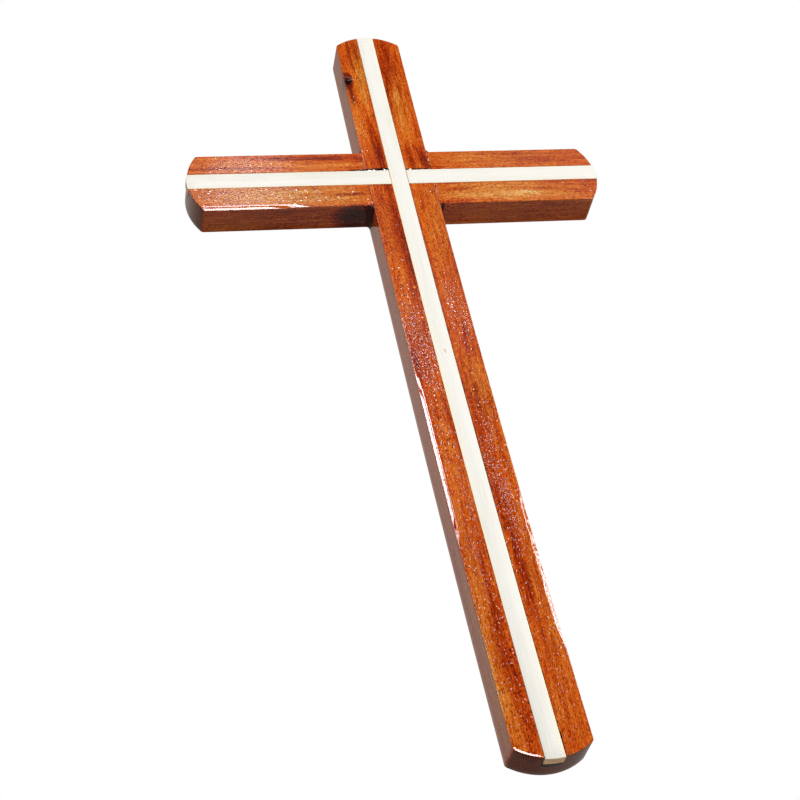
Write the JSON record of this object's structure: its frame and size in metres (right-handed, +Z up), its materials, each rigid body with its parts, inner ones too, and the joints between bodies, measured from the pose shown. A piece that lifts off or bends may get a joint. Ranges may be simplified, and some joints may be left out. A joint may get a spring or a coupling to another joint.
{
  "type": "wall cross",
  "caption": "Latin wall cross of lacquered red-brown hardwood: lapped bars with outward-curved ends, pale wood strips inlaid along the front and a flat back, made to hang.",
  "frame": {"origin": "on the flat back that lies against the wall, at the middle of the crossing", "axes": "+Z up along the upright, +X to the right arm as the front is seen, +Y into the wall, front towards -Y"},
  "size_m": [0.1529, 0.0115, 0.3056],
  "materials": {
    "lacquered_hardwood": "clear gloss lacquer over open-pored red-brown hardwood",
    "pale_inlay_wood": "clear gloss lacquer over cream-white close-grained wood"
  },
  "bodies": {
    "root": {"upright": "lacquered_hardwood", "crossbar": "lacquered_hardwood", "long_inlay": "pale_inlay_wood", "left_inlay": "pale_inlay_wood", "right_inlay": "pale_inlay_wood"}
  },
  "joints": []
}
